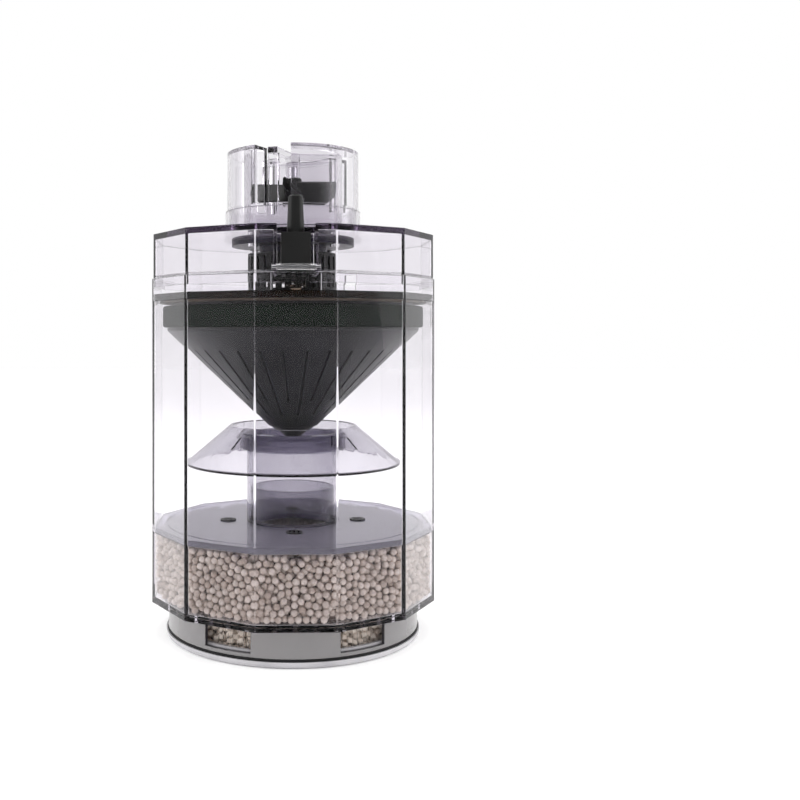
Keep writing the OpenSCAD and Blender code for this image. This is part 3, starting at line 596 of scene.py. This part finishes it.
def base_media():
    """The base's beads: a layer behind the windows and a solid middle."""
    half = BEAD_SIZE / 2
    outer = high("base_beads", 0) - half
    floor, top = low("base_beads") + half, high("base_beads") - half
    start = scattered(BASE_BEADS, outer, outer - BASE_LAYER, floor, top, 15)
    spots = settle(start, BEAD_SIZE, in_ring(outer, outer - BASE_LAYER - 0.2, floor, top))
    new_piece("base_bead_layer", bead_mesh("base_bead_layer", spots, BEAD_SIZE, 16), BEAD,
              "base_beads")
    reach = outer - BASE_CORE_INSET
    outline = [(reach * math.sin(math.radians(5 * k)), -reach * math.cos(math.radians(5 * k)))
               for k in range(72)]
    bead_bed("base_bead_core", outline, floor - half + CORE_GAP, top + half - CORE_GAP,
             "base_beads")


# ---- sponge ----

SPONGE_INNER = 66.3
SPONGE_CORNER = 1.3
SPONGE_AROUND, SPONGE_ACROSS = 420, 40


def ring_profile(inner, outer, floor, top):
    """The sponge's section: a rectangle with rounded corners, as radius and height."""
    path = []
    for x, z, sx, sz, start in ((outer, floor, -1, 1, -90), (outer, top, -1, -1, 0),
                                (inner, top, 1, -1, 90), (inner, floor, 1, 1, 180)):
        for step in range(4):
            a = math.radians(start + 30 * step)
            path.append((x + sx * SPONGE_CORNER + SPONGE_CORNER * math.cos(a),
                         z + sz * SPONGE_CORNER + SPONGE_CORNER * math.sin(a)))
    profile = []
    steps = SPONGE_ACROSS // 4
    for i in range(4):
        first, second = path[4 * i + 3], path[(4 * i + 4) % 16]
        profile += path[4 * i:4 * i + 4]
        for step in range(1, steps):
            profile.append((first[0] + (second[0] - first[0]) * step / steps,
                            first[1] + (second[1] - first[1]) * step / steps))
    return profile


def sponge():
    """A foam ring with crowned, slightly uneven sides."""
    inner, outer = SPONGE_INNER, high("sponge_ring", 0) - 0.2
    floor, top = low("sponge_ring") + 0.1, high("sponge_ring") - 0.1
    profile = ring_profile(inner, outer, floor, top)
    middle_r, middle_z = (inner + outer) / 2, (floor + top) / 2
    verts, faces = [], []
    for i in range(SPONGE_AROUND):
        a = 2 * math.pi * i / SPONGE_AROUND
        for r, z in profile:
            at = Vector((r * math.sin(a), -r * math.cos(a), z))
            sink = 0.18 * noise.noise(at * 0.35) + 0.12 * noise.noise(at * 1.7)
            pull = 0.16 + abs(sink)
            r2 = r + (pull if r < middle_r else -pull)
            z2 = z + (pull if z < middle_z else -pull) * 0.6
            verts.append((r2 * math.sin(a), -r2 * math.cos(a), z2))
    n = len(profile)
    for i in range(SPONGE_AROUND):
        j = (i + 1) % SPONGE_AROUND
        for k in range(n):
            m = (k + 1) % n
            faces.append((i * n + k, j * n + k, j * n + m, i * n + m))
    mesh = bpy.data.meshes.new("sponge_foam_ring")
    mesh.from_pydata([tuple(c * MM for c in v) for v in verts], [], faces)
    mesh.polygons.foreach_set("use_smooth", [True] * len(mesh.polygons))
    mesh.update()
    ring = new_piece("sponge_foam_ring", mesh, FOAM, "sponge_ring")


# ---- mouldings ----

GAP = 0.03
MOULDINGS = [
    # node, piece, finish, edge radius, how far its skin is drawn in
    ("base_plate", "bottom_disc", DISC, 0.3, 0),
    # The bottom seal's black ring is partly a seal, partly painted shade in the gap between the cup and
    # the bottom disc.
    ("base_seal", "bottom_seal_and_gap_shade", RUBBER_AND_GAP_SHADE, 0.25, 0),
    ("base_cup", "intake_cup", CUP_WALL, 0.3, GAP),
    ("base_screen", "intake_screen", SCREEN_WALL, 0.12, GAP),
    ("canister_shell", "twelve_sided_shell", CLEAR_WALL, 0.25, GAP),
    ("tray_plate", "media_tray", SMOKY, 0.2, GAP),
    ("tray_strainers", "tray_strainer_discs", BLACK, 0.12, 0),
    ("riser_socket", "riser_foot_socket", SMOKY_FOOT, 0.2, GAP),
    ("riser_tube", "riser_tube_wall", SMOKY_TUBE, 0.2, GAP),
    ("riser_collar", "riser_grip_collar", SMOKY, 0.15, GAP),
    ("deflector_hat", "deflector_skirt", SMOKY_HAT, 0.25, GAP),
    ("hopper_flange", "hopper_shelf", TEA, 0.25, GAP),
    ("hopper_cone", "slotted_cone", CONE, 0.12, 0),
    ("hopper_tip", "cone_nose", CONE, 0.4, 0),
    ("hopper_seal", "hopper_seal_ring", TAN_SEAL, 0.2, 0),
    ("lid_shell", "lid_moulding", LID_WALL, 0.25, GAP),
    ("lid_gasket", "lid_gasket_line", GASKET, 0.08, GAP),
    ("latch_pins", "latch_hinge_pins", PIN_STEEL, 0.12, 0),
    ("latch_front", "front_latch_tongue", LATCH_WALL, 0.15, GAP),
    ("latch_rear", "rear_latch_tongue", LATCH_WALL, 0.15, GAP),
    ("pump_housing", "pump_body", PUMP_BLACK, 0.25, 0),
    ("pump_strainer", "pump_slotted_strainer", BLACK, 0.2, 0),
    ("pump_outlet", "pump_outlet_throat", PUMP_BLACK, 0.25, 0),
    ("pump_screws", "pump_flange_screws", STEEL, 0.1, 0),
    ("pump_coil", "motor_winding", COPPER, 0.15, 0),
    ("motor_cap", "motor_bell_cap", BLACK, 0.2, 0),
    ("shaft_bushes", "rotor_bushes", CERAMIC, 0.06, 0),
    ("cable_gland", "cable_strain_gland", RUBBER_AND_GAP_SHADE, 0.2, 0),
    ("nozzle_block", "nozzle_mounting_block", BLACK, 0.35, 0),
    ("nozzle", "upright_nozzle", BLACK, 0.2, 0),
    ("air_pipe", "pump_air_pipe", GASKET, 0.1, 0),
    ("rotor_shaft", "rotor_spindle", CERAMIC, 0.1, 0),
    ("rotor_magnet", "rotor_magnet_sleeve", MAGNET, 0.15, 0),
    ("rotor_impeller", "rotor_vanes", BLACK, 0.1, 0),
    ("turret_collar", "turret_seat_collar", TURRET_WALL, 0.25, GAP),
    ("turret_drum", "turret_outer_drum", TURRET_WALL, 0.25, GAP),
    ("turret_duct", "turret_inner_duct", TURRET_WALL, 0.2, GAP),
    ("bearing_bridge", "three_armed_bridge", TURRET_WALL, 0.2, GAP),
    ("impeller_pin", "impeller_axle", STEEL, 0.1, 0),
    ("pin_cap", "axle_end_cap", CERAMIC, 0.2, 0),
    ("impeller", "turret_bladed_wheel", BLACK, 0.3, 0),
    ("impeller_bush", "wheel_bush", CERAMIC, 0.08, 0),
]


# ---- studio ----

FLOOR_HALF = 4.0      # this section is in metres
FLOOR_DROP = 0.0002
LAMP_AIM = Vector((0, 0, 0.13))
LAMPS = [
    # name, place, size, power
    ("soft_top", (0.0, -0.25, 1.3), 1.4, 9.0),
    ("soft_left", (-1.3, -0.1, 0.6), 1.1, 9.0),
    ("soft_right", (1.3, -0.1, 0.6), 1.1, 9.0),
]
CAMERA_AWAY, CAMERA_HIGH, CAMERA_TURN = 0.5564, 0.1667, math.radians(-1.2)


def white_surround():
    world = bpy.data.worlds.new("white_studio")
    bpy.context.scene.world = world
    world.use_nodes = True
    world.node_tree.nodes["Background"].inputs["Color"].default_value = (1, 1, 1, 1)
    world.node_tree.nodes["Background"].inputs["Strength"].default_value = 1.0


def studio_floor():
    mesh = bpy.data.meshes.new("studio_floor")
    corners = [(x * FLOOR_HALF, y * FLOOR_HALF, 0) for x, y in ((-1, -1), (1, -1), (1, 1), (-1, 1))]
    mesh.from_pydata(corners, [], [(0, 1, 2, 3)])
    floor = bpy.data.objects.new("studio_floor", mesh)
    floor.location.z = -FLOOR_DROP
    bpy.context.scene.collection.objects.link(floor)
    material, t, bsdf = finish("white_studio_floor")
    mottle = t.noise(t.place(), 6.0)
    t.feed(bsdf.inputs["Base Color"], t.blend(mottle, (0.92, 0.92, 0.92, 1), (0.95, 0.95, 0.95, 1)))
    bsdf.inputs["Roughness"].default_value = 0.7
    bsdf.inputs["Emission Color"].default_value = (1, 1, 1, 1)
    bsdf.inputs["Emission Strength"].default_value = 0.1
    mesh.materials.append(material)


def soft_lamps():
    for name, place, size, power in LAMPS:
        lamp = bpy.data.lights.new(name, "AREA")
        lamp.shape, lamp.size, lamp.energy = "SQUARE", size, power
        holder = bpy.data.objects.new(name, lamp)
        holder.location = place
        aim = LAMP_AIM - Vector(place)
        holder.rotation_euler = aim.to_track_quat("-Z", "Y").to_euler()
        bpy.context.scene.collection.objects.link(holder)


def studio_camera():
    lens = bpy.data.cameras.new("studio_camera")
    lens.lens, lens.sensor_width = 44.04, 36.0
    lens.shift_x, lens.shift_y = 0.1339, -0.0832
    lens.clip_start = 0.01
    camera = bpy.data.objects.new("studio_camera", lens)
    camera.location = (CAMERA_AWAY * math.sin(CAMERA_TURN), -CAMERA_AWAY * math.cos(CAMERA_TURN),
                       CAMERA_HIGH)
    camera.rotation_euler = (math.radians(90), 0, CAMERA_TURN)
    bpy.context.scene.collection.objects.link(camera)
    bpy.context.scene.camera = camera


def light_paths():
    """Enough bounces for light that runs along inside the clear walls."""
    scene = bpy.context.scene
    scene.view_settings.view_transform = "Standard"
    scene.cycles.max_bounces = 40
    scene.cycles.transmission_bounces = 40
    scene.cycles.transparent_max_bounces = 16
    scene.cycles.diffuse_bounces = 4
    scene.cycles.glossy_bounces = 6


white_surround()
studio_floor()
soft_lamps()
studio_camera()
light_paths()
for node, name, material, width, gap in MOULDINGS:
    as_moulded(node, name, material, width, gap)
dark_reveals(bpy.data.objects["intake_cup"], low("base_cup") + 1, high("base_cup") - 1)
canister_media()
base_media()
sponge()

bpy.context.view_layer.update()
